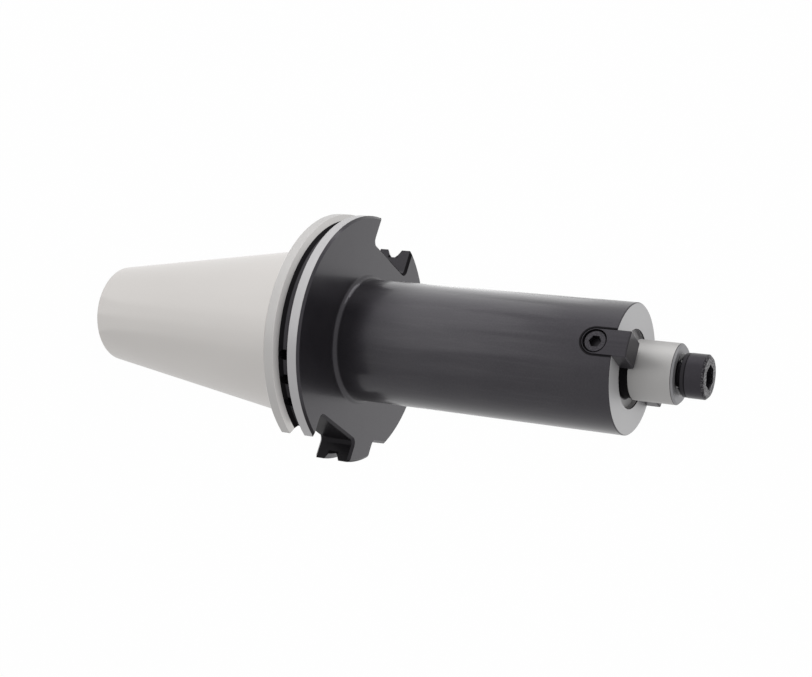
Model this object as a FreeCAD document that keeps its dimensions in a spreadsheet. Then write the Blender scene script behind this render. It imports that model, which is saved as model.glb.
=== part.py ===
"""Shell mill arbor with a steep 7:24 taper, size 50, pilot diameter 22 mm.

Frame: millimetres, origin on the spindle axis at the gauge plane of the taper,
+Z towards the cutter end. The drive slots of the flange face +Y and -Y, and the
drive keys of the cutter end lie at +X and -X.
"""

import FreeCAD
import Part
import Sketcher
import math
import os

# Driving dimensions, in millimetres and degrees: name, value, what it is
SIZES = [
    ("gauge_d", 69.85, "taper diameter at the gauge plane"),
    ("taper_ratio", 7 / 24, "diameter lost per length of taper"),
    ("taper_length", 101.75, "gauge plane to small end"),
    ("small_end_chamfer", 0.8, "chamfer round the small end"),
    ("relief_depth", 0.7, "relief behind the flange, below the taper"),
    ("relief_start", 0.6, "gauge plane to relief"),
    ("stud_bore_d", 25.0, "pull stud register bore"),
    ("stud_bore_depth", 11.5, "pull stud register bore depth"),
    ("stud_mouth_chamfer", 1.0, "chamfer at the mouth of the register bore"),
    ("stud_thread_d", 20.75, "M24 thread at its minor diameter"),
    ("stud_thread_depth", 61.5, "small end to the end of the tapped hole"),
    ("drill_point", 0.3, "drill point height as a share of its diameter"),
    ("flange_d", 97.5, "flange outside diameter"),
    ("flange_rear", 3.2, "gauge plane to rear face of the flange"),
    ("flange_front", 19.1, "gauge plane to front face of the flange"),
    ("flange_chamfer", 0.9, "chamfer on both rims of the flange"),
    ("groove_centre", 11.1, "gauge plane to middle of the gripper groove"),
    ("groove_width", 6.5, "mouth of the gripper groove"),
    ("groove_half_angle", 30.0, "flank angle of the gripper groove"),
    ("groove_root_width", 4.0, "width where the flanks of the groove meet its root"),
    ("groove_floor_width", 1.6, "flat width at the floor of the gripper groove"),
    ("groove_depth", 3.25, "depth of the gripper groove"),
    ("slot_width", 28.6, "drive slot width"),
    ("slot_floor_far", 37.7, "axis to the floor of the slot at -Y"),
    ("slot_floor_near", 35.5, "axis to the floor of the slot at +Y"),
    ("slot_corner_radius", 2.0, "inner corners of the drive slots"),
    ("slot_edge_chamfer", 1.0, "broken edges of slots and notch"),
    ("notch_x", 28.8, "axis to the index notch along X"),
    ("notch_y", 32.9, "axis to the corner of the index notch along Y"),
    ("notch_tilt", 17.0, "slope of the notch's second wall, degrees"),
    ("notch_corner_radius", 1.5, "inner corner of the index notch"),
    ("balance_hole_d", 4.0, "balancing holes in the gripper groove"),
    ("balance_hole_depth", 8.0, "balancing holes, below the groove floor"),
    ("balance_count", 3, "balancing holes in a row"),
    ("balance_pitch", 12.0, "angle between balancing holes, degrees"),
    ("balance_start", 32.0, "angle of the first balancing hole from -X, degrees"),
    ("shank_d", 48.0, "cylindrical extension"),
    ("shank_fillet", 1.8, "fillet where the extension leaves the flange"),
    ("face_height", 130.0, "gauge plane to the cutter's contact face"),
    ("face_chamfer", 0.4, "edge of the contact face"),
    ("recess_width", 3.5, "ring recess round the root of the pilot"),
    ("recess_depth", 2.0, "depth of the ring recess"),
    ("neck_depth", 0.6, "undercut of the pilot's neck in the recess"),
    ("neck_step", 0.25, "undercut at the upper end of the neck's cone"),
    ("neck_height", 1.9, "contact face to the start of the ground pilot"),
    ("pilot_d", 22.0, "pilot that centres the cutter"),
    ("pilot_length", 18.0, "contact face to the end of the pilot"),
    ("pilot_chamfer", 0.8, "lead-in chamfer of the pilot"),
    ("mouth_d", 15.0, "countersink at the pilot's end"),
    ("clamp_thread_d", 9.0, "M10 thread at its pitch diameter"),
    ("thread_clearance", 0.05, "radial clearance of every screw in its hole"),
    ("clamp_hole_depth", 30.0, "pilot's end to the end of the tapped hole"),
    ("key_width", 10.0, "drive key width"),
    ("key_pilot_gap", 2.0, "pilot to the floor of the key seats"),
    ("key_end_drop", 7.2, "contact face to the centre of the key's round end"),
    ("key_reach", 5.2, "height of the key above the contact face"),
    ("key_inset", 0.05, "key's outer surface below the extension's"),
    ("key_side_gap", 0.02, "clearance beside a key in its seat"),
    ("key_chamfer", 0.35, "edge chamfer of the keys"),
    ("seat_chamfer", 0.25, "edge chamfer of the key seats"),
    ("key_head_d", 8.5, "M5 socket head"),
    ("key_head_height", 5.0, "M5 socket head height"),
    ("key_head_chamfer", 0.5, "upper edge of the M5 head"),
    ("key_head_foot", 0.2, "lower edge of the M5 head"),
    ("key_thread_d", 4.5, "M5 thread at its pitch diameter"),
    ("key_screw_length", 11.0, "M5 screw below its head"),
    ("key_screw_tip", 0.5, "chamfer at the tip of the M5 screw"),
    ("key_hex", 4.0, "M5 hexagon socket across flats"),
    ("key_hex_depth", 2.5, "M5 hexagon socket depth"),
    ("key_hex_turn", 0.0, "turn of the M5 socket about its axis, degrees"),
    ("key_head_gap", 0.2, "clearance round the M5 head in its counterbore"),
    ("key_foot", 5.2, "thickness of the key under the M5 head"),
    ("key_shank_gap", 0.45, "clearance round the M5 screw in the key"),
    ("key_tip_room", 0.6, "tapped hole beyond the tip of the M5 screw"),
    ("washer_inset", 0.1, "clamp washer's rim inside the rim of the screw head"),
    ("washer_hole_gap", 0.75, "clearance round the M10 screw in the washer"),
    ("washer_thickness", 1.5, "clamp washer thickness"),
    ("washer_edge", 0.2, "broken edges of the washer"),
    ("washer_gap", 1.6, "pilot's end to the washer, as it stands in the picture"),
    ("clamp_head_d", 16.0, "M10 socket head"),
    ("clamp_head_height", 7.0, "M10 low socket head height"),
    ("clamp_head_chamfer", 0.9, "upper edge of the M10 head"),
    ("clamp_head_foot", 0.3, "lower edge of the M10 head"),
    ("clamp_screw_length", 25.0, "M10 screw below its head"),
    ("clamp_screw_tip", 1.0, "chamfer at the tip of the M10 screw"),
    ("clamp_hex", 8.0, "M10 hexagon socket across flats"),
    ("clamp_hex_depth", 5.0, "M10 hexagon socket depth"),
    ("clamp_hex_turn", 0.0, "turn of the M10 socket about its axis, degrees"),
]

# Places and sizes that follow from the driving ones
TAPER_SLOPE = "sizes.taper_ratio / 2"
FLANGE_R = "sizes.flange_d / 2"
GROOVE_FLOOR_R = "(sizes.flange_d / 2 - sizes.groove_depth)"
SHANK_R = "sizes.shank_d / 2"
PILOT_R = "sizes.pilot_d / 2"
PILOT_END = "(sizes.face_height + sizes.pilot_length)"
KEY_SEAT = "(sizes.pilot_d / 2 + sizes.key_pilot_gap)"
KEY_MIDDLE = "(sizes.face_height - sizes.key_end_drop)"
KEY_TOP = "(sizes.face_height + sizes.key_reach)"
KEY_OUTER = "(sizes.shank_d / 2 - sizes.key_inset)"
KEY_HEAD_SEAT = "(sizes.pilot_d / 2 + sizes.key_pilot_gap + sizes.key_foot)"

doc = FreeCAD.newDocument("shell_mill_arbor")
sheet = doc.addObject("Spreadsheet::Sheet", "sizes")
for row, (alias, number, meaning) in enumerate(SIZES, start=1):
    sheet.set(f"A{row}", meaning)
    sheet.set(f"B{row}", repr(number))
    sheet.setAlias(f"B{row}", alias)
doc.recompute()


def size(expression):
    """Work out an expression on the sheet's sizes."""
    return float(sheet.evalExpression(expression))


def drive(owner, name, expression):
    """Bind one property of an object to the sheet."""
    owner.setExpression(name, expression)


def add_body(name):
    """Start a new piece."""
    body = doc.addObject("PartDesign::Body", name)
    body.Label = name
    return body


def add_sketch(body, name, role, offset=None):
    """Put a sketch on one of the body's origin planes, raised by an offset along its normal."""
    plane = [item for item in body.Origin.OriginFeatures if item.Role == role][0]
    sketch = body.newObject("Sketcher::SketchObject", name)
    sketch.AttachmentSupport = [(plane, "")]
    sketch.MapMode = "FlatFace"
    if offset:
        drive(sketch, "AttachmentOffset.Base.z", offset)
    doc.recompute()
    return sketch


def pin_point(sketch, geometry, point, x, y):
    """Fix one point of a sketch at two expressions, or on an axis where one is zero."""
    for kind, expression, axis in (("DistanceX", x, -2), ("DistanceY", y, -1)):
        if expression == "0":
            sketch.addConstraint(Sketcher.Constraint("PointOnObject", geometry, point, axis))
            continue
        rule = Sketcher.Constraint(kind, -1, 1, geometry, point, size(expression))
        index = sketch.addConstraint(rule)
        drive(sketch, f"Constraints[{index}]", expression)


def outline(sketch, corners, arcs=None):
    """Draw a closed outline through corners given as pairs of expressions.

    arcs maps the number of a side to (centre x, centre y, driven coordinate, turn):
    that side is an arc, and turn is 1 where it runs anticlockwise.
    """
    arcs = arcs or {}
    places = [FreeCAD.Vector(size(x), size(y), 0) for x, y in corners]
    ends = []
    for side, start in enumerate(places):
        finish = places[(side + 1) % len(places)]
        if side not in arcs:
            index = sketch.addGeometry(Part.LineSegment(start, finish), False)
            ends.append((index, 1, 2))
            continue
        centre_x, centre_y, driven, turn = arcs[side]
        centre = FreeCAD.Vector(size(centre_x), size(centre_y), 0)
        first, last = (start, finish) if turn > 0 else (finish, start)
        angle_first = math.atan2(first.y - centre.y, first.x - centre.x)
        angle_last = math.atan2(last.y - centre.y, last.x - centre.x)
        if angle_last <= angle_first:
            angle_last += 2 * math.pi
        circle = Part.Circle(centre, FreeCAD.Vector(0, 0, 1), (start - centre).Length)
        index = sketch.addGeometry(Part.ArcOfCircle(circle, angle_first, angle_last), False)
        ends.append((index, 1, 2) if turn > 0 else (index, 2, 1))
        if driven == "x":
            pull = ("DistanceX", centre_x, -2)
        else:
            pull = ("DistanceY", centre_y, -1)
        if pull[1] == "0":
            sketch.addConstraint(Sketcher.Constraint("PointOnObject", index, 3, pull[2]))
        else:
            rule = Sketcher.Constraint(pull[0], -1, 1, index, 3, size(pull[1]))
            number = sketch.addConstraint(rule)
            drive(sketch, f"Constraints[{number}]", pull[1])
    for side, (index, start_point, end_point) in enumerate(ends):
        following, following_start, _ = ends[(side + 1) % len(ends)]
        sketch.addConstraint(
            Sketcher.Constraint("Coincident", index, end_point, following, following_start)
        )
        x, y = corners[side]
        pin_point(sketch, index, start_point, x, y)


def ring(sketch, diameter, x="0", y="0"):
    """Draw a circle of a driven diameter at a driven centre."""
    centre = FreeCAD.Vector(size(x), size(y), 0)
    circle = Part.Circle(centre, FreeCAD.Vector(0, 0, 1), size(diameter) / 2)
    index = sketch.addGeometry(circle, False)
    rule = Sketcher.Constraint("Diameter", index, size(diameter))
    number = sketch.addConstraint(rule)
    drive(sketch, f"Constraints[{number}]", diameter)
    pin_point(sketch, index, 3, x, y)


def hexagon(sketch, across_flats, turn):
    """Draw a hexagon about the origin, its first corner turned from the sketch's x axis."""
    corners = []
    for corner in range(6):
        angle = f"({turn} + {60 * corner}) * 1deg"
        radius = f"{across_flats} / 2 / cos(30deg)"
        corners.append((f"{radius} * cos({angle})", f"{radius} * sin({angle})"))
    outline(sketch, corners)


def turn_solid(body, kind, name, sketch):
    """Turn a sketch once round the vertical axis, to add or to cut."""
    feature = body.newObject(kind, name)
    feature.Profile = sketch
    feature.ReferenceAxis = (sketch, ["V_Axis"])
    feature.Angle = 360
    doc.recompute()
    return feature


def pad(body, name, sketch, length):
    """Extrude a sketch along its normal."""
    feature = body.newObject("PartDesign::Pad", name)
    feature.Profile = sketch
    drive(feature, "Length", length)
    doc.recompute()
    return feature


def cut(body, name, sketch, length=None, outward=False):
    """Cut a sketch into the body against its normal, or along it where outward is set."""
    before = body.Shape.Volume
    feature = body.newObject("PartDesign::Pocket", name)
    feature.Profile = sketch
    if length:
        drive(feature, "Length", length)
    else:
        feature.Type = "ThroughAll"
        feature.Midplane = True
    feature.Reversed = outward
    doc.recompute()
    if body.Shape.Volume >= before:
        raise RuntimeError(f"{name} cuts nothing")
    return feature


def copies(body, name, originals, count, angle):
    """Repeat features round the vertical axis."""
    before = body.Shape.Volume
    axis = [item for item in body.Origin.OriginFeatures if item.Role == "Z_Axis"][0]
    pattern = body.newObject("PartDesign::PolarPattern", name)
    pattern.Originals = originals
    pattern.Axis = (axis, [""])
    drive(pattern, "Occurrences", count)
    drive(pattern, "Angle", angle)
    body.Tip = pattern
    doc.recompute()
    if body.Shape.Volume >= before:
        raise RuntimeError(f"{name} cuts nothing")
    return pattern


def edges_where(shape, wanted):
    """Name the edges of a shape that a test picks."""
    return [f"Edge{i}" for i, edge in enumerate(shape.Edges, start=1) if wanted(edge)]


def dress(body, kind, name, wanted, expression):
    """Round or bevel the edges that a test picks on the body's last feature."""
    base = body.Tip
    names = edges_where(base.Shape, wanted)
    if not names:
        raise RuntimeError(f"{name} finds no edge")
    feature = body.newObject(kind, name)
    feature.Base = (base, names)
    drive(feature, "Radius" if kind.endswith("Fillet") else "Size", expression)
    doc.recompute()
    return feature


def level(edge, height):
    """True where an edge lies flat at a height."""
    return all(abs(vertex.Z - height) < 1e-4 for vertex in edge.Vertexes)


def upright(edge):
    """True where an edge runs along Z."""
    first, last = edge.Vertexes[0].Point, edge.Vertexes[-1].Point
    drop = last - first
    return drop.Length > 1e-3 and abs(abs(drop.z) - drop.Length) < 1e-4


def add_taper_and_shank(body):
    """Turn the taper, flange, extension and pilot in one profile."""
    taper = TAPER_SLOPE
    gauge = "sizes.gauge_d / 2"
    rim = FLANGE_R
    small = f"({gauge} - sizes.taper_length * {taper})"
    relief = f"({gauge} + sizes.relief_start * {taper} - sizes.relief_depth)"
    chamfer = "sizes.flange_chamfer"
    mouth_half = "sizes.groove_width / 2"
    root_half = "sizes.groove_root_width / 2"
    floor_half = "sizes.groove_floor_width / 2"
    root = f"({rim} - ({mouth_half} - {root_half}) / tan(sizes.groove_half_angle * 1deg))"
    face = "sizes.face_height"
    recess = f"({PILOT_R} + sizes.recess_width)"
    neck = f"({PILOT_R} - sizes.neck_depth)"
    corners = [
        ("0", "-sizes.taper_length"),
        (f"{small} - sizes.small_end_chamfer", "-sizes.taper_length"),
        (
            f"{small} + sizes.small_end_chamfer * {taper}",
            "-sizes.taper_length + sizes.small_end_chamfer",
        ),
        (f"{gauge} + sizes.relief_start * {taper}", "sizes.relief_start"),
        (relief, "sizes.relief_start"),
        (relief, "sizes.flange_rear"),
        (f"{rim} - {chamfer}", "sizes.flange_rear"),
        (rim, f"sizes.flange_rear + {chamfer}"),
        (rim, f"sizes.groove_centre - {mouth_half}"),
        (root, f"sizes.groove_centre - {root_half}"),
        (GROOVE_FLOOR_R, f"sizes.groove_centre - {floor_half}"),
        (GROOVE_FLOOR_R, f"sizes.groove_centre + {floor_half}"),
        (root, f"sizes.groove_centre + {root_half}"),
        (rim, f"sizes.groove_centre + {mouth_half}"),
        (rim, f"sizes.flange_front - {chamfer}"),
        (f"{rim} - {chamfer}", "sizes.flange_front"),
        (SHANK_R, "sizes.flange_front"),
        (SHANK_R, f"{face} - sizes.face_chamfer"),
        (f"{SHANK_R} - sizes.face_chamfer", face),
        (recess, face),
        (recess, f"{face} - sizes.recess_depth"),
        (neck, f"{face} - sizes.recess_depth"),
        (neck, face),
        (f"{PILOT_R} - sizes.neck_step", f"{face} + sizes.neck_height"),
        (PILOT_R, f"{face} + sizes.neck_height"),
        (PILOT_R, f"{PILOT_END} - sizes.pilot_chamfer"),
        (f"{PILOT_R} - sizes.pilot_chamfer", PILOT_END),
        ("0", PILOT_END),
    ]
    sketch = add_sketch(body, "turned_profile", "XZ_Plane")
    outline(sketch, corners)
    turn_solid(body, "PartDesign::Revolution", "turned_blank", sketch)

    def shank_root(edge):
        on_face = level(edge, size("sizes.flange_front"))
        return on_face and abs(edge.BoundBox.XMax - size(SHANK_R)) < 0.01

    dress(body, "PartDesign::Fillet", "shank_root_fillet", shank_root, "sizes.shank_fillet")


def add_axial_holes(body):
    """Bore the small end for a pull stud and the pilot for the clamp screw."""
    bottom = "-sizes.taper_length"
    bore = "sizes.stud_bore_d / 2"
    thread = "sizes.stud_thread_d / 2"
    deep = f"{bottom} + sizes.stud_thread_depth"
    stud = [
        ("0", bottom),
        (f"{bore} + sizes.stud_mouth_chamfer", bottom),
        (bore, f"{bottom} + sizes.stud_mouth_chamfer"),
        (bore, f"{bottom} + sizes.stud_bore_depth"),
        (thread, f"{bottom} + sizes.stud_bore_depth + {bore} - {thread}"),
        (thread, deep),
        ("0", f"{deep} + sizes.stud_thread_d * sizes.drill_point"),
    ]
    sketch = add_sketch(body, "stud_hole_profile", "XZ_Plane")
    outline(sketch, stud)
    turn_solid(body, "PartDesign::Groove", "stud_hole", sketch)

    top = PILOT_END
    mouth = "sizes.mouth_d / 2"
    tapped = "(sizes.clamp_thread_d / 2 + sizes.thread_clearance)"
    end = f"{top} - sizes.clamp_hole_depth"
    clamp = [
        ("0", top),
        ("0", f"{end} - 2 * {tapped} * sizes.drill_point"),
        (tapped, end),
        (tapped, f"{top} - {mouth} + {tapped}"),
        (mouth, top),
    ]
    sketch = add_sketch(body, "clamp_hole_profile", "XZ_Plane")
    outline(sketch, clamp)
    turn_solid(body, "PartDesign::Groove", "clamp_hole", sketch)


def add_drive_slots(body):
    """Mill the two drive slots and the index notch through the flange."""
    half = "sizes.slot_width / 2"
    past_rim = f"({FLANGE_R} + 2)"
    through = "sizes.flange_front - sizes.relief_start"
    slots = (("near", "1", "sizes.slot_floor_near"), ("far", "-1", "sizes.slot_floor_far"))
    for name, sign, floor in slots:
        sketch = add_sketch(body, f"slot_{name}_outline", "XY_Plane", "sizes.flange_front")
        corners = [
            (f"-({half})", f"{sign} * {floor}"),
            (half, f"{sign} * {floor}"),
            (half, f"{sign} * {past_rim}"),
            (f"-({half})", f"{sign} * {past_rim}"),
        ]
        outline(sketch, corners)
        cut(body, f"slot_{name}", sketch, through)

        def inner_corner(edge):
            place = edge.Vertexes[0].Point
            across = abs(abs(place.x) - size(half)) < 1e-3
            return upright(edge) and across and abs(place.y - size(f"{sign} * {floor}")) < 1e-3

        dress(
            body,
            "PartDesign::Fillet",
            f"slot_{name}_corners",
            inner_corner,
            "sizes.slot_corner_radius",
        )

    sketch = add_sketch(body, "notch_outline", "XY_Plane", "sizes.flange_front")
    reach = f"({past_rim} - sizes.notch_x)"
    outline(
        sketch,
        [
            ("sizes.notch_x", "-sizes.notch_y"),
            ("sizes.notch_x", f"-{past_rim}"),
            (past_rim, f"-{past_rim}"),
            (
                past_rim,
                f"-sizes.notch_y + {reach} * tan(sizes.notch_tilt * 1deg)",
            ),
        ],
    )
    cut(body, "index_notch", sketch, through)

    def notch_corner(edge):
        place = edge.Vertexes[0].Point
        across = abs(place.x - size("sizes.notch_x")) < 1e-3
        return upright(edge) and across and abs(place.y + size("sizes.notch_y")) < 1e-3

    dress(
        body,
        "PartDesign::Fillet",
        "notch_corner",
        notch_corner,
        "sizes.notch_corner_radius",
    )

    def slot_edge(edge):
        heights = (size("sizes.flange_front"), size("sizes.flange_rear"))
        flat = any(level(edge, height) for height in heights)
        if not flat or edge.Curve.TypeId != "Part::GeomLine":
            return False
        return True

    dress(
        body,
        "PartDesign::Chamfer",
        "broken_slot_edges",
        slot_edge,
        "sizes.slot_edge_chamfer",
    )


def add_balance_holes(body):
    """Drill the row of balancing holes into the floor of the gripper groove."""
    sketch = add_sketch(body, "balance_hole_outline", "YZ_Plane")
    sketch.AttachmentOffset = FreeCAD.Placement(
        FreeCAD.Vector(0, 0, 0), FreeCAD.Rotation(FreeCAD.Vector(0, 1, 0), 90)
    )
    turn = "((180 + sizes.balance_start) * 1deg)"
    reach = f"({GROOVE_FLOOR_R} + 5)"
    drive(sketch, "AttachmentOffset.Rotation.Angle", turn)
    drive(sketch, "AttachmentOffset.Base.x", f"{reach} * sin{turn}")
    drive(sketch, "AttachmentOffset.Base.z", f"{reach} * cos{turn}")
    ring(sketch, "sizes.balance_hole_d", "0", "sizes.groove_centre")
    hole = cut(body, "balance_hole", sketch, "sizes.balance_hole_depth + 5")
    spread = "sizes.balance_pitch * (sizes.balance_count - 1) * 1deg"
    copies(body, "balance_holes", [hole], "sizes.balance_count", spread)


def add_key_seats(body):
    """Mill the two key seats across the cutter end and tap them for the key screws."""
    half = "sizes.key_width / 2"
    top = "sizes.face_height + 1"
    sketch = add_sketch(body, "key_seat_outline", "YZ_Plane", KEY_SEAT)
    corners = [(half, KEY_MIDDLE), (half, top), (f"-{half}", top), (f"-{half}", KEY_MIDDLE)]
    outline(sketch, corners, {3: ("0", KEY_MIDDLE, "y", 1)})
    seat = cut(body, "key_seat", sketch, SHANK_R, outward=True)
    sketch = add_sketch(body, "key_tapped_outline", "YZ_Plane", KEY_SEAT)
    ring(sketch, "sizes.key_thread_d + 2 * sizes.thread_clearance", "0", KEY_MIDDLE)
    depth = "sizes.key_screw_length - sizes.key_foot + sizes.key_tip_room"
    tapped = cut(body, "key_tapped_hole", sketch, depth)
    copies(body, "key_seats", [seat, tapped], "2", "360deg")

    def seat_edge(edge):
        if level(edge, edge.Vertexes[0].Z) and not upright(edge):
            return False
        below_face = size("sizes.face_height - sizes.face_chamfer") + 1e-4
        lowest = size(f"{KEY_MIDDLE} - sizes.key_width")
        for vertex in edge.Vertexes:
            off_rim = abs(math.hypot(vertex.X, vertex.Y) - size(SHANK_R)) > 1e-3
            if off_rim or vertex.Z < lowest or vertex.Z > below_face:
                return False
        return True

    dress(body, "PartDesign::Chamfer", "broken_seat_edges", seat_edge, "sizes.seat_chamfer")


def make_arbor_body():
    """The one-piece steel arbor."""
    body = add_body("arbor_body")
    add_taper_and_shank(body)
    add_axial_holes(body)
    add_drive_slots(body)
    add_balance_holes(body)
    add_key_seats(body)
    return body


def make_drive_key(name, turn):
    """A round-ended drive key with a counterbored hole for its screw."""
    body = add_body(name)
    half = "(sizes.key_width / 2 - sizes.key_side_gap)"
    sketch = add_sketch(body, "key_outline", "YZ_Plane", KEY_SEAT)
    corners = [
        (half, KEY_MIDDLE),
        (half, KEY_TOP),
        (f"-{half}", KEY_TOP),
        (f"-{half}", KEY_MIDDLE),
    ]
    outline(sketch, corners, {3: ("0", KEY_MIDDLE, "y", 1)})
    pad(body, "key_bar", sketch, f"{KEY_OUTER} - {KEY_SEAT} + 1")

    sketch = add_sketch(body, "key_crown_outline", "XY_Plane", f"{KEY_TOP} + 1")
    ring(sketch, f"2 * {KEY_OUTER}")
    ring(sketch, f"2 * {KEY_OUTER} + 2 * sizes.key_width")
    crown_depth = "sizes.key_reach + sizes.key_end_drop + sizes.key_width + 2"
    cut(body, "key_crown", sketch, crown_depth)

    def rim(edge):
        spots = [edge.valueAt(edge.FirstParameter), edge.valueAt(edge.LastParameter)]
        on_crown = [abs(math.hypot(spot.x, spot.y) - size(KEY_OUTER)) < 1e-3 for spot in spots]
        on_top = [abs(spot.z - size(KEY_TOP)) < 1e-3 for spot in spots]
        return all(on_crown) or all(on_top)

    dress(body, "PartDesign::Chamfer", "broken_key_edges", rim, "sizes.key_chamfer")

    sketch = add_sketch(body, "key_counterbore_outline", "YZ_Plane", SHANK_R)
    ring(sketch, "sizes.key_head_d + 2 * sizes.key_head_gap", "0", KEY_MIDDLE)
    cut(body, "key_counterbore", sketch, f"{SHANK_R} - {KEY_HEAD_SEAT}")
    sketch = add_sketch(body, "key_clear_hole_outline", "YZ_Plane", SHANK_R)
    ring(sketch, "sizes.key_thread_d + 2 * sizes.key_shank_gap", "0", KEY_MIDDLE)
    cut(body, "key_clear_hole", sketch, f"{SHANK_R} - {KEY_SEAT} + 1")
    body.Placement = FreeCAD.Placement(
        FreeCAD.Vector(0, 0, 0), FreeCAD.Rotation(FreeCAD.Vector(0, 0, 1), turn)
    )
    return body


def make_cap_screw(name, word, hexagon_turn):
    """A socket head cap screw standing on its head's seat, threads drawn as a plain shank.

    word is the start of the names of its sizes in the sheet.
    """
    body = add_body(name)
    head = f"sizes.{word}_head_d / 2"
    height = f"sizes.{word}_head_height"
    shank = f"sizes.{word}_thread_d / 2"
    tip = f"sizes.{word}_screw_tip"
    foot = f"sizes.{word}_head_foot"
    long = f"sizes.{word}_screw_length"
    sketch = add_sketch(body, "screw_profile", "XZ_Plane")
    outline(
        sketch,
        [
            ("0", f"-{long}"),
            (f"{shank} - {tip}", f"-{long}"),
            (shank, f"-{long} + {tip}"),
            (shank, "0"),
            (f"{head} - {foot}", "0"),
            (head, foot),
            (head, f"{height} - sizes.{word}_head_chamfer"),
            (f"{head} - sizes.{word}_head_chamfer", height),
            ("0", height),
        ],
    )
    turn_solid(body, "PartDesign::Revolution", "screw_blank", sketch)
    sketch = add_sketch(body, "socket_outline", "XY_Plane", height)
    hexagon(sketch, f"sizes.{word}_hex", hexagon_turn)
    cut(body, "socket", sketch, f"sizes.{word}_hex_depth")
    return body


def make_key_screw(name, turn):
    """One M5 screw, its head sunk in a drive key."""
    body = make_cap_screw(name, "key", "sizes.key_hex_turn")
    facing = FreeCAD.Rotation(FreeCAD.Vector(0, 1, 0), 90)
    around = FreeCAD.Rotation(FreeCAD.Vector(0, 0, 1), turn)
    body.Placement = FreeCAD.Placement(FreeCAD.Vector(0, 0, 0), around.multiply(facing))
    drive(body, "Placement.Base.x", f"{KEY_HEAD_SEAT} * cos({turn} * 1deg)")
    drive(body, "Placement.Base.z", KEY_MIDDLE)
    return body


def make_clamp_washer():
    """The narrow washer under the head of the clamp screw."""
    body = add_body("clamp_washer")
    inner = "sizes.clamp_thread_d / 2 + sizes.washer_hole_gap"
    outer = "(sizes.clamp_head_d / 2 - sizes.washer_inset)"
    thick = "sizes.washer_thickness"
    edge = "sizes.washer_edge"
    sketch = add_sketch(body, "washer_profile", "XZ_Plane")
    outline(
        sketch,
        [
            (inner, "0"),
            (f"{outer} - {edge}", "0"),
            (outer, edge),
            (outer, f"{thick} - {edge}"),
            (f"{outer} - {edge}", thick),
            (inner, thick),
        ],
    )
    turn_solid(body, "PartDesign::Revolution", "washer_ring", sketch)
    drive(body, "Placement.Base.z", f"{PILOT_END} + sizes.washer_gap")
    return body


def make_clamp_screw():
    """The M10 screw that clamps the cutter on the pilot."""
    body = make_cap_screw("clamp_screw", "clamp", "sizes.clamp_hex_turn")
    drive(body, "Placement.Base.z", f"{PILOT_END} + sizes.washer_gap + sizes.washer_thickness")
    return body


def check_and_write(bodies):
    """Stop at any faulty feature or shape, then write each piece to its own file."""
    doc.recompute()
    for item in doc.Objects:
        if "Invalid" in item.State or "Error" in item.State:
            raise RuntimeError(f"{item.Label} is {item.State}")
    os.makedirs("parts", exist_ok=True)
    for body in bodies:
        shape = body.Shape
        if shape.isNull() or not shape.isValid() or len(shape.Solids) != 1:
            raise RuntimeError(f"{body.Label} has a faulty shape")
        shape.exportStep(f"parts/{body.Label}.step")
        box = shape.BoundBox
        low = f"{box.XMin:.2f} {box.YMin:.2f} {box.ZMin:.2f}"
        high = f"{box.XMax:.2f} {box.YMax:.2f} {box.ZMax:.2f}"
        print(f"{body.Label}: {shape.Volume:.1f} mm3, from {low} to {high}")


pieces = [make_arbor_body()]
for number, angle in ((1, 0), (2, 180)):
    pieces.append(make_drive_key(f"drive_key_{number}", angle))
    pieces.append(make_key_screw(f"key_screw_{number}", angle))
pieces.append(make_clamp_washer())
pieces.append(make_clamp_screw())
check_and_write(pieces)
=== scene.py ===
"""A shell mill arbor with its drive keys, washer and clamping screw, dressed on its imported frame.

The frame stands on the small end of the taper, with +Z along the axis towards the cutter. Sizes
are in millimetres and turn into metres where a mesh or the camera is made. Lamps are in metres.
"""

import bpy
import numpy as np
from mathutils import Matrix, Vector


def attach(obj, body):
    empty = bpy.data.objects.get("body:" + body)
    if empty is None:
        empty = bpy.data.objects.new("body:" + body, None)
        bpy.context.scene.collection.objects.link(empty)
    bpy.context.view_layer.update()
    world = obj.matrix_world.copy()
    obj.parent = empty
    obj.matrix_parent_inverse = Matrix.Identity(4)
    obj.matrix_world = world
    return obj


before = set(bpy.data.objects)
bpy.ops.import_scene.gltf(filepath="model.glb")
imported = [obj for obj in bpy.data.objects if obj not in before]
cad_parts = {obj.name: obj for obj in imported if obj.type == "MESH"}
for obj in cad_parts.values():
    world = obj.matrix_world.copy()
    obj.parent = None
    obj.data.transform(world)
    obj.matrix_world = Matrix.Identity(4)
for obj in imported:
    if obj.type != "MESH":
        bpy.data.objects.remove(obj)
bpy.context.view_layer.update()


# The arbor body is one piece of hardened steel, turned and milled to shape and blackened all over
# in a hot oxide bath. It is then ground bright where it fits another part: the taper, the two rims
# of the flange, the flanks of its groove on the -X side, the contact face and the pilot. The flanks
# towards +X are left black as painted shade, and its corners and recesses carry painted shade.

MM = 0.001


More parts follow.
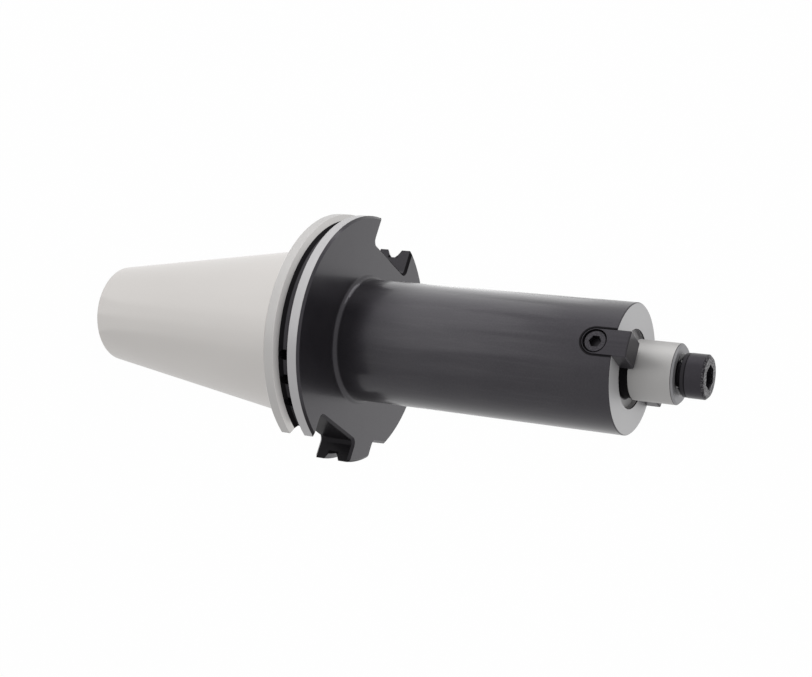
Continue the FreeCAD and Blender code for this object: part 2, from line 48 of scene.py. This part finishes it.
class Wire:
    """A value inside one material. Arithmetic on it adds the Math nodes that work it out."""

    def __init__(self, tree, socket):
        self.tree = tree
        self.socket = socket

    def node(self, kind, settings=None, sockets=None, output=0):
        """Adds a node: first its settings, then the value or the link of each of its sockets."""
        made = self.tree.nodes.new("ShaderNode" + kind)
        for name, value in (settings or {}).items():
            setattr(made, name, value)
        for name, value in (sockets or {}).items():
            if isinstance(value, Wire):
                self.tree.links.new(value.socket, made.inputs[name])
            else:
                made.inputs[name].default_value = value
        return Wire(self.tree, made.outputs[output]) if len(made.outputs) else made

    def maths(self, operation, *values):
        return self.node("Math", {"operation": operation}, dict(enumerate(values)))

    def __add__(self, other):
        return self.maths("ADD", self, other)

    def __sub__(self, other):
        return self.maths("SUBTRACT", self, other)

    def __rsub__(self, other):
        return self.maths("SUBTRACT", other, self)

    def __mul__(self, other):
        return self.maths("MULTIPLY", self, other)

    def __pow__(self, other):
        return self.maths("POWER", self, other)

    def __abs__(self):
        return self.maths("ABSOLUTE", self)

    __radd__ = __add__
    __rmul__ = __mul__

    def at_most(self, limit):
        return self.maths("MINIMUM", self, limit)

    def above(self, edge, blur=0.1):
        """0 below the edge and 1 above it, with a smooth step as wide as the blur between."""
        limits = {"Value": self, "From Min": edge - blur / 2, "From Max": edge + blur / 2}
        return self.node("MapRange", {"interpolation_type": "SMOOTHSTEP"}, limits)

    def between(self, low, high, blur=0.1):
        return self.above(low, blur) * (1 - self.above(high, blur))

    def mixed(self, colour, other):
        """The colour where this value is 0 and the other colour where it is 1."""
        return self.node("Mix", {"data_type": "RGBA"}, {0: self, 6: colour, 7: other}, 2)

    def noise(self, stretch, detail):
        """Cloudy noise of about 0.25 to 0.75; stretch is how often it changes per millimetre."""
        scaled = self.node("VectorMath", {"operation": "MULTIPLY"}, {0: self, 1: stretch})
        sockets = {"Vector": scaled, "Scale": 1.0, "Detail": detail, "Roughness": 0.5}
        return self.node("TexNoise", {"normalize": True}, sockets)

    def lines(self, rate):
        """Noise along one direction only, which gives parallel tool marks."""
        sockets = {"W": self * rate, "Scale": 1.0, "Detail": 1.0}
        return self.node("TexNoise", {"noise_dimensions": "1D"}, sockets)


def open_material(name):
    """An empty material, with its object coordinates in millimetres to draw patterns on."""
    material = bpy.data.materials.new(name)
    material.use_nodes = True
    material.node_tree.nodes.clear()
    metres = Wire(material.node_tree, None).node("TexCoord", output="Object")
    place = metres.node("VectorMath", {"operation": "SCALE"}, {0: metres, "Scale": 1 / MM})
    return material, place


def coordinates(place):
    """The three coordinates of a place, in millimetres."""
    split = place.node("SeparateXYZ", None, {0: place}).socket.node
    return [Wire(place.tree, output) for output in split.outputs]


def distance(one, other):
    """The length of a step with these two parts, at right angles to each other."""
    return (one * one + other * other) ** 0.5


# The dull black of painted shade, and of the darker ends of the keys and the clamping screw's head.
DULL_BLACK = (0.0120, 0.0112, 0.0124, 1.0)


def close_material(
    material, place, colour, metallic, roughness, *, film, height, depth, dull_black=0.0, **constants
):
    """Ends a material in one shader.

    The film is the weight of a thin clear coat of oil. The height is bump, and the depth is its
    size in millimetres. The dull black share mixes in a dull black shader: painted shade in corners,
    recesses, gaps and under parts, and a darker tone on the ends of the keys and the screw head.
    """
    bump = {"Height": height, "Strength": 1.0, "Distance": depth * MM}
    sockets = {
        "Base Color": colour,
        "Metallic": metallic,
        "Roughness": roughness,
        "Coat Weight": film,
        "Coat Roughness": 0.16,
        "Specular IOR Level": 0.25,
        "Normal": place.node("Bump", None, bump),
    }
    for name, value in constants.items():
        sockets[name.replace("_", " ")] = value
    skin = place.node("BsdfPrincipled", None, sockets)
    dull = place.node("BsdfDiffuse", None, {"Color": DULL_BLACK})
    both = place.node("MixShader", None, {0: dull_black, 1: skin, 2: dull})
    place.node("OutputMaterial", None, {"Surface": both})
    return material


def dress(node, material):
    """Gives a solid of the frame its finish."""
    for material_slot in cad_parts[node].material_slots:
        material_slot.material = material


GROUND_STEEL = (0.542, 0.524, 0.508, 1.0)
GROUND_STEEL_DULL = (0.452, 0.436, 0.423, 1.0)
REAR_RIM_STEEL = (0.394, 0.386, 0.380, 1.0)
REAR_FLANK_STEEL = (0.540, 0.528, 0.518, 1.0)
RIM_STEEL = (0.350, 0.345, 0.350, 1.0)
FACE_STEEL = (0.400, 0.398, 0.402, 1.0)
PILOT_STEEL = (0.400, 0.394, 0.390, 1.0)
RING_STEEL = (0.240, 0.238, 0.246, 1.0)
RECESS_STEEL = (0.480, 0.476, 0.480, 1.0)
OXIDE = (0.0238, 0.0214, 0.0270, 1.0)
OXIDE_WORN = (0.0950, 0.0910, 0.0980, 1.0)
OXIDE_METALLIC = 0.6
OIL_FILM = 0.36


def oxide_coat(place, rubbed):
    """Black oxide: a thin nearly black skin with faint clouds, greyer where it is rubbed."""
    clouds = place.noise((0.09, 0.09, 0.05), 3.0)
    grain = place.noise((1.6, 1.6, 1.6), 2.0)
    wear = clouds * 0.22 + grain * 0.16 - 0.10 + rubbed
    colour = wear.mixed(OXIDE, OXIDE_WORN)
    roughness = 0.26 + clouds * 0.10 + grain * 0.06
    return colour, roughness


# Each band and ring has its low and its high edge. A fade has its middle and its width.
TAPER_BAND = (-100.95, 3.0)
TAPER_RADIUS = 35.2
RIM_BAND = (3.3, 18.2)
RIM_RADIUS = 48.70
REAR_EDGE_BAND = (3.16, 4.2)
REAR_EDGE_RADIUS = 47.80
FLANGE_REAR_HALF = 11.0
GROOVE_BAND = (7.0, 15.2)
GROOVE_MIDDLE = 11.1
GROOVE_ROOT_HALF = 2.0
GROOVE_ROOT_RADIUS = 46.585
FLANK_SLOPE = 0.577
FLANK_RADIUS = 46.60
FLANK_SKIN = 0.09
FLANK_FADE = (8.0, 6.0)
FACE_LOW = 129.94
FACE_HIGH = 130.2
FACE_RING = (14.5, 23.64)
PILOT_BAND = (131.9, 147.22)
PILOT_RADIUS = 10.7
RECESS_BAND = (127.5, 129.50)
RECESS_RING = (11.3, 14.62)
PILOT_END = 147.40
PILOT_END_RING = (7.6, 11.05)


def ground_areas(x, z, r):
    """The ground areas by height z and radius r, each 0 to 1, in the order of their names below.

    The groove's flanks lie where |z - GROOVE_MIDDLE| is GROOVE_ROOT_HALF at its root's radius, and
    grows by FLANK_SLOPE for each millimetre of radius. Those towards +X are left black oxide as
    painted shade.
    """
    taper = z.between(*TAPER_BAND) * (1 - r.above(TAPER_RADIUS))
    rims = r.above(RIM_RADIUS, 0.04) * z.between(*RIM_BAND)
    rear_edge = r.above(REAR_EDGE_RADIUS, 0.06) * z.between(*REAR_EDGE_BAND, 0.06)
    half_width = (r - GROOVE_ROOT_RADIUS) * FLANK_SLOPE
    beside_flank = abs(z - GROOVE_MIDDLE) - half_width - GROOVE_ROOT_HALF
    flanks = (1 - abs(beside_flank).above(FLANK_SKIN, 0.04)) * r.above(FLANK_RADIUS, 0.06)
    # Painted shade: the flanks fade back to black oxide towards +X.
    flanks = flanks * z.between(*GROOVE_BAND) * (1 - x.above(*FLANK_FADE))
    face = z.above(FACE_LOW, 0.04) * r.between(*FACE_RING, 0.06) * (1 - z.above(FACE_HIGH))
    pilot = z.between(*PILOT_BAND, 0.06) * r.above(PILOT_RADIUS, 0.06)
    return taper, rims, rear_edge, flanks, face, pilot


ROOT_BAND = (8.8, 13.4)
ROOT_CORNER_BAND = (8.8, 10.45)
ROOT_RING = (45.3, 46.62)
SLOT_BAND = (3.0, 18.1)
SLOT_RING = (35.2, 49.5)
SLOT_HALF_WIDTH = 14.36
SLOT_EDGE_BAND = (18.1, 19.06)
SLOT_EDGE_RING = (34.3, 49.5)
SLOT_EDGE_HALF_WIDTH = 15.4
RECESS_EDGE_BAND = (129.50, 129.94)
RECESS_EDGE_RING = (14.3, 14.7)
RIM_EDGE_BAND = (18.25, 19.05)
RIM_EDGE_RADIUS = 47.9
NECK_BAND = (127.8, 131.85)
NECK_RADIUS = 10.95
DRIVE_KEY_AXIS = 122.8
DRIVE_KEY_OUTLINE = (4.8, 5.6)
SEAT_TOP = 129.9
SEAT_INNER = 20.0
ROOT_FADE = (-30.0, 24.0)
RECESS_EDGE_FADE = (9.0, 6.0)
RIM_EDGE_FADE = (-40.0, 6.0)
RECESS_FADE = (10.5, 7.0)
NECK_FADE = (2.0, 6.0)


def stadium(y, z):
    """Distance from the middle line of a key: 5 mm is its outline, with a round end below."""
    drop = (z - DRIVE_KEY_AXIS).at_most(0.0)
    return distance(y, drop)


def painted_shade_corners(x, y, z, r, recess):
    """Painted shade: dull black in the corners, recesses and gaps where little light comes in.

    It is deepest towards -Y, on the sides that lie in shade, and the neck and the recess have it
    only there. The front edge of a drive slot is the other way about.
    """
    # Every mask below is painted shade. Lower darkens towards -Y, and the slots, the recess edge,
    # the rim edge and the neck also fade by side.
    lower = 1 - y.above(*ROOT_FADE)
    root_ring = r.between(*ROOT_RING, 0.04)
    root_corner = root_ring * z.between(*ROOT_CORNER_BAND, 0.2)
    root = root_ring * z.between(*ROOT_BAND) * (lower * 0.5 + 0.25)
    slot = (1 - abs(x).above(SLOT_HALF_WIDTH, 0.04)) * r.between(*SLOT_RING)
    slot = slot * z.between(*SLOT_BAND, 0.05) * (0.80 - y.above(0.0) * 0.55)
    slot_edge = (1 - abs(x).above(SLOT_EDGE_HALF_WIDTH)) * r.between(*SLOT_EDGE_RING)
    slot_edge = slot_edge * z.between(*SLOT_EDGE_BAND, 0.04) * (0.45 + y.above(0.0) * 0.45)
    seat_line = stadium(y, z).between(*DRIVE_KEY_OUTLINE, 0.15)
    seat_line = seat_line * abs(x).above(SEAT_INNER) * (1 - z.above(SEAT_TOP))
    recess_edge = r.between(*RECESS_EDGE_RING) * z.between(*RECESS_EDGE_BAND, 0.06)
    recess_edge = recess_edge * (0.8 - y.above(*RECESS_EDGE_FADE) * 0.6)
    rim_edge = r.above(RIM_EDGE_RADIUS) * z.between(*RIM_EDGE_BAND)
    rim_edge = rim_edge * (1 - y.above(*RIM_EDGE_FADE))
    neck = (1 - r.above(NECK_RADIUS)) * z.between(*NECK_BAND)
    neck = neck + recess * (1 - (x + r * 1.3).above(*RECESS_FADE)) * 0.8
    neck = neck * (1 - y.above(*NECK_FADE))
    # The sum of all the painted shade on the arbor.
    dull_black = root_corner * 0.7 + root + slot + slot_edge + seat_line * 0.85
    dull_black = dull_black + recess_edge + neck * 0.85 + rim_edge * 0.6
    return dull_black.at_most(1.0)


def arbor_finish():
    """Ground steel on the fitting surfaces, turned steel in the ring recess and on the pilot's end.

    The rest is black oxide, faintly streaked along the extension, with painted shade in the corners.
    """
    material, place = open_material("arbor_steel_finish")
    x, y, z = coordinates(place)
    r = distance(x, y)

    taper, rims, rear_edge, flanks, face, pilot = ground_areas(x, z, r)
    ground = (taper + rims + rear_edge + flanks + face + pilot).at_most(1.0)
    recess = r.between(*RECESS_RING, 0.1) * z.between(*RECESS_BAND, 0.1)
    end_ring = r.between(*PILOT_END_RING, 0.15) * z.above(PILOT_END, 0.08)

    rings = z.lines(9.0) * (1 - face) + r.lines(9.0) * face
    broad = place.noise((0.03, 0.03, 0.012), 2.0)
    fine = place.noise((0.7, 0.7, 2.5), 3.0)
    tone = broad * 0.6 + rings * 0.25 + fine * 0.15
    steel = tone.mixed(GROUND_STEEL, GROUND_STEEL_DULL)
    for part, shade in (
        (rims + flanks, RIM_STEEL),
        (rims * (1 - z.above(FLANGE_REAR_HALF)), REAR_RIM_STEEL),
        (flanks * (1 - z.above(FLANGE_REAR_HALF)), REAR_FLANK_STEEL),
        (face, FACE_STEEL),
        (pilot, PILOT_STEEL),
        (end_ring, RING_STEEL),
        (recess, RECESS_STEEL),
    ):
        steel = part.mixed(steel, shade)
    steel_roughness = 0.30 + rings * 0.10 + broad * 0.05
    steel_roughness = steel_roughness + (face + end_ring + recess) * 0.18 + pilot * 0.27

    streaks = place.noise((0.6, 0.6, 0.05), 2.0).above(0.60, 0.24)
    handled = z.between(30.0, 112.0, 14.0)
    black, black_roughness = oxide_coat(place, streaks * handled * 0.06)

    bare = (ground + end_ring + recess).at_most(1.0)
    return close_material(
        material,
        place,
        bare.mixed(black, steel),
        bare * (1 - OXIDE_METALLIC) + OXIDE_METALLIC - recess * 0.8,
        bare * steel_roughness + (1 - bare) * black_roughness,
        film=(1 - bare) * OIL_FILM,
        height=rings,
        depth=0.0012,
        # The dull black share is the painted shade of the corners.
        dull_black=painted_shade_corners(x, y, z, r, recess),
        Anisotropic=0.4,
        Anisotropic_Rotation=0.25,
    )


dress("arbor_body", arbor_finish())


# The stud thread is cut into the arbor's small end, behind a plain register. It is a coarse single
# start thread with rounded flanks, blackened with the rest of the body, for the draw-in stud.

def thread_ridge(name, root, crest, pitch, low, high, base_width, crest_width, steps=48):
    """One closed ridge that winds round the axis.

    With t the turns made so far, the ridge's middle is at height low + pitch * t and at an angle of
    t full turns. Across it are four points: two on the root radius, half the base width to either
    side, and two on the crest radius, half the crest width to either side. Over the first and the
    last half turn a smooth step lifts the crest out of the root, and the ridge grows from its
    narrow end to its full width.
    """
    run_out = 0.5
    first_lift = 0.02
    end_width = 0.3
    turns = (high - low) / pitch
    t = np.linspace(0.0, turns, int(turns * steps) + 1)
    rise = np.clip(np.minimum(t, turns - t) / run_out, first_lift, 1.0)
    rise = rise * rise * (3 - 2 * rise)
    side = np.array([-base_width, -crest_width, crest_width, base_width]) / 2
    lift = np.array([0.0, 1.0, 1.0, 0.0])
    radius = root + (crest - root) * rise[:, None] * lift
    height = low + pitch * t[:, None] + side * (end_width + (1 - end_width) * rise[:, None])
    angle = 2 * np.pi * t[:, None] + np.zeros(4)
    points = np.stack([radius * np.cos(angle), radius * np.sin(angle), height], axis=-1)
    row = np.arange(len(t) - 1)[:, None] * 4
    left = np.arange(4)
    right = (left + 1) % 4
    quads = np.stack([row + left, row + left + 4, row + right + 4, row + right], axis=-1)
    first_cap = np.arange(4)
    last_cap = 4 * len(t) - 1 - first_cap
    faces = np.concatenate([quads.reshape(-1, 4), [first_cap, last_cap]])
    if crest < root:
        faces = faces[:, ::-1]
    mesh = bpy.data.meshes.new(name)
    mesh.from_pydata((points.reshape(-1, 3) * MM).tolist(), [], faces.tolist())
    mesh.validate()
    piece = bpy.data.objects.new(name, mesh)
    bpy.context.scene.collection.objects.link(piece)
    return piece


def thread_finish():
    """Black oxide over cut flanks, with fine tool marks."""
    material, place = open_material("thread_finish")
    x, y, _ = coordinates(place)
    marks = distance(x, y).lines(6.0)
    colour, roughness = oxide_coat(place, marks * 0.3)
    return close_material(
        material, place, colour, OXIDE_METALLIC, roughness, film=OIL_FILM, height=marks, depth=0.001
    )


stud_thread = thread_ridge(
    "stud_thread", root=10.45, crest=9.9, pitch=3.0, low=-88.6, high=-41.5,
    base_width=1.6, crest_width=0.5, steps=60,
)
stud_thread.data.materials.append(thread_finish())
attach(stud_thread, "arbor")


# The two drive keys are milled from bar, hardened and blackened. Each sits in a seat across the
# contact face and is held by its own socket head screw.

DRIVE_KEY_END = 134.7


def key_finish():
    """Black oxide on milled faces, a little greyer and partly dull black on the end, with painted
    shade along its edge in its seat.
    """
    material, place = open_material("key_steel_finish")
    x, y, z = coordinates(place)
    milled = (x + y * 0.35).lines(2.4)
    end = z.above(DRIVE_KEY_END, 0.8)
    colour, roughness = oxide_coat(place, milled * 0.14 + end * 0.12)
    # Painted shade along the key's sides below the contact face, where it sits in its seat, and a
    # darker end.
    seat_shade_and_dark_end = stadium(y, z).above(4.7, 0.2) * (1 - z.above(SEAT_TOP)) + end * 0.55
    return close_material(
        material, place, colour, OXIDE_METALLIC, roughness,
        film=0.2, height=milled, depth=0.002, dull_black=seat_shade_and_dark_end * 0.6,
    )


for number in (1, 2):
    dress(f"drive_key_{number}", key_finish())


# The key screws are small socket head cap screws, black, sunk in the keys' outer faces. Their heads
# are rolled and turned, so the ring round the socket catches the light.

SCREW_RING = 22.6
SCREW_END = 23.1
SOCKET_RADIUS = 2.45


def key_screw_finish():
    """Black oxide, a little greyer on the ring of the head, with painted shade in its hexagon
    socket.
    """
    material, place = open_material("key_screw_finish")
    x, y, z = coordinates(place)
    mottle = place.noise((1.6, 1.6, 1.6), 3.0)
    ring = abs(x).above(SCREW_RING, 0.3)
    colour, roughness = oxide_coat(place, ring * mottle.above(0.52, 0.2) * 0.22)
    beside_axis = distance(y, z - DRIVE_KEY_AXIS)
    # Painted shade inside the hexagon socket.
    socket = (1 - beside_axis.above(SOCKET_RADIUS, 0.1)) * (1 - abs(x).above(SCREW_END, 0.1))
    return close_material(
        material, place, colour, OXIDE_METALLIC, roughness,
        film=0.2, height=mottle, depth=0.003, dull_black=socket * 0.5,
    )


for number in (1, 2):
    dress(f"key_screw_{number}", key_screw_finish())


# The washer is a flat steel ring that presses the cutter onto the contact face. Its oxide is worn
# thin by the screw head above it, and it is darkened all over with painted shade from that head.

def washer_finish():
    """Turned rings on black oxide, with painted shade all over."""
    material, place = open_material("washer_finish")
    x, y, _ = coordinates(place)
    rings = distance(x, y).lines(5.0)
    colour, roughness = oxide_coat(place, rings * 0.1)
    # The 0.45 share of dull black is painted shade from the screw head above.
    return close_material(
        material, place, colour, OXIDE_METALLIC, roughness,
        film=0.1, height=rings, depth=0.002, dull_black=0.45,
    )


dress("clamp_washer", washer_finish())


# The clamping screw is a socket head cap screw of forged, blackened steel. Its rolled thread shows
# between the washer and the pilot, and all the more as it is undone.

HEAD_END = 157.3


def clamp_screw_finish():
    """Black oxide; the end of the head is darker, part dull black, with greyer specks where the key
    wrench rubs.
    """
    material, place = open_material("clamp_screw_finish")
    _, _, z = coordinates(place)
    mottle = place.noise((1.5, 1.5, 1.5), 2.0)
    specks = mottle.above(0.53, 0.10)
    end = z.above(HEAD_END, 0.5)
    colour, roughness = oxide_coat(place, end * specks * 0.9)
    # The end of the head is darkened with dull black, except at the greyer specks.
    return close_material(
        material, place, colour, OXIDE_METALLIC, roughness,
        film=0.06, height=mottle, depth=0.004, dull_black=end * (0.45 - specks * 0.40),
    )


dress("clamp_screw", clamp_screw_finish())
screw_thread = thread_ridge(
    "clamp_screw_thread", root=4.38, crest=4.93, pitch=1.5, low=127.6, high=150.2,
    base_width=0.95, crest_width=0.22,
)
screw_thread.data.materials.append(thread_finish())
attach(screw_thread, "screw")


# The floor is a plain pale sheet under the small end. The camera, gloss and glass see it and the
# sky as white, and a small share of the floor stays as it is lit, so that it keeps the shadow.

FLOOR_HEIGHT = -101.77
FLOOR_HALF = 12.0
FLOOR_SHADE = (0.93, 0.93, 0.93, 1.0)
WHITE = (1.0, 1.0, 1.0, 1.0)
SEEN_WHITE = 0.985
SKY_LEVEL = 0.55


def seen_directly(start):
    """1 for rays of the camera, of gloss and of glass, and 0 for the rest."""
    path = start.node("LightPath").socket.node
    wanted = ("Is Camera Ray", "Is Glossy Ray", "Is Transmission Ray")
    camera, gloss, glass = [Wire(start.tree, path.outputs[name]) for name in wanted]
    return (camera + gloss + glass).at_most(1.0)


def make_floor():
    low, high = -FLOOR_HALF, FLOOR_HALF
    corners = [(low, low), (high, low), (high, high), (low, high)]
    mesh = bpy.data.meshes.new("floor")
    mesh.from_pydata([(x, y, FLOOR_HEIGHT * MM) for x, y in corners], [], [(0, 1, 2, 3)])
    floor = bpy.data.objects.new("floor", mesh)
    bpy.context.scene.collection.objects.link(floor)
    material = bpy.data.materials.new("floor_finish")
    material.use_nodes = True
    material.node_tree.nodes.clear()
    start = Wire(material.node_tree, None)
    lit = start.node("BsdfDiffuse", None, {"Color": FLOOR_SHADE})
    white = start.node("Emission", None, {"Color": WHITE, "Strength": 1.0})
    factor = seen_directly(start) * SEEN_WHITE
    both = start.node("MixShader", None, {0: factor, 1: lit, 2: white})
    start.node("OutputMaterial", None, {"Surface": both})
    mesh.materials.append(material)


def make_sky(level):
    """A white sky: a strength of 1 where it is seen, and the level given where it only lights."""
    world = bpy.data.worlds.new("sky")
    bpy.context.scene.world = world
    world.use_nodes = True
    world.node_tree.nodes.clear()
    start = Wire(world.node_tree, None)
    strength = level + seen_directly(start) * (1.0 - level)
    light = start.node("Background", None, {"Color": WHITE, "Strength": strength})
    start.node("OutputWorld", None, {"Surface": light})


make_floor()
make_sky(SKY_LEVEL)


# The lamps are flat and soft. The key lamp and the front lamp stand a metre away. A fan of low lamps
# lies round the foot of the arbor and shines up, and three dim ones that overlap lie close to it, so
# that their light falls off gently round the taper.

KEY_LAMP_GLOW = 2.6
KEY_LAMP_SIZES = (0.9, 0.9)
FRONT_LAMP_GLOW = 0.5
FRONT_LAMP_SIZES = (0.5, 0.5)
LOW_HEIGHT = -0.10
LOW_WIDTH = 0.25
LOW_LAMPS = (
    {"azimuth": 25.0, "near": 0.267, "far": 0.560, "glow": 0.95},
    {"azimuth": 65.0, "near": 0.267, "far": 0.560, "glow": 1.0},
    {"azimuth": 105.0, "near": 0.267, "far": 0.500, "glow": 1.5},
    {"azimuth": 145.0, "near": 0.267, "far": 0.457, "glow": 2.0},
    {"azimuth": 185.0, "near": 0.267, "far": 0.457, "glow": 1.6},
    {"azimuth": 225.0, "near": 0.267, "far": 0.457, "glow": 0.4},
)
TABLE_LAMPS = ((186.0, -0.1012), (208.0, -0.1010), (230.0, -0.1008))
TABLE_DISTANCE = 0.116
TABLE_SIZES = (0.30, 0.23)
TABLE_GLOW = 0.13


def make_lamp(name, place, turn, sizes, glow):
    """A flat soft lamp; glow is how bright its face looks, where 1 is white."""
    light = bpy.data.lights.new(name, "AREA")
    light.shape = "RECTANGLE"
    light.size, light.size_y = sizes
    light.energy = glow * np.pi * sizes[0] * sizes[1]
    lamp = bpy.data.objects.new(name, light)
    bpy.context.scene.collection.objects.link(lamp)
    lamp.location = place
    lamp.rotation_euler = turn
    lamp.visible_camera = False


def towards(place, target):
    """The turn of a lamp at a place that shines at a target."""
    return (Vector(target) - Vector(place)).to_track_quat("-Z", "Y").to_euler()


def upwards(azimuth):
    """The turn of a lamp that lies on its back, with its length along an azimuth in degrees."""
    return (np.pi, 0.0, np.radians(azimuth))


def around(azimuth, reach, height):
    """A place at an azimuth in degrees and a reach from the arbor's axis."""
    angle = np.radians(azimuth)
    return (reach * np.cos(angle), reach * np.sin(angle), height)


KEY_LAMP_PLACE = around(115.0, 1.15, 0.20)
FRONT_LAMP_PLACE = around(21.0, 1.06, 0.60)
key_turn = towards(KEY_LAMP_PLACE, (0.0, 0.0, 0.02))
make_lamp("key_lamp", KEY_LAMP_PLACE, key_turn, KEY_LAMP_SIZES, KEY_LAMP_GLOW)
front_turn = towards(FRONT_LAMP_PLACE, (0.0, 0.0, 0.05))
make_lamp("front_lamp", FRONT_LAMP_PLACE, front_turn, FRONT_LAMP_SIZES, FRONT_LAMP_GLOW)
for lamp in LOW_LAMPS:
    azimuth, near, far = lamp["azimuth"], lamp["near"], lamp["far"]
    middle = around(azimuth, (near + far) / 2, LOW_HEIGHT)
    sizes = (far - near, LOW_WIDTH)
    make_lamp(f"low_lamp_{azimuth:.0f}", middle, upwards(azimuth), sizes, lamp["glow"])
for edge, height in TABLE_LAMPS:
    middle = around(edge - 90.0, TABLE_DISTANCE, height)
    make_lamp(f"table_lamp_{edge:.0f}", middle, upwards(edge), TABLE_SIZES, TABLE_GLOW)


# The camera looks down at the arbor and is rolled, so that the axis runs across the picture with
# the taper on the left and the screw on the right.

CAMERA_PLACE = (-450.7, -171.2, 297.9)
LOOKING = (0.82073, 0.31597, -0.47600)
PICTURE_RIGHT = (0.40305, 0.27027, 0.87437)
LENS = 62.5


def make_camera():
    data = bpy.data.cameras.new("camera")
    data.lens = LENS
    data.sensor_width = 36.0
    data.clip_start = 0.01
    data.clip_end = 100.0
    camera = bpy.data.objects.new("camera", data)
    bpy.context.scene.collection.objects.link(camera)
    forward = Vector(LOOKING).normalized()
    right = (Vector(PICTURE_RIGHT) - forward * Vector(PICTURE_RIGHT).dot(forward)).normalized()
    up = right.cross(forward)
    turn = Matrix((right, up, -forward)).transposed()
    camera.matrix_world = Matrix.Translation(Vector(CAMERA_PLACE) * MM) @ turn.to_4x4()
    bpy.context.scene.camera = camera


make_camera()
bpy.context.scene.view_settings.view_transform = "Standard"
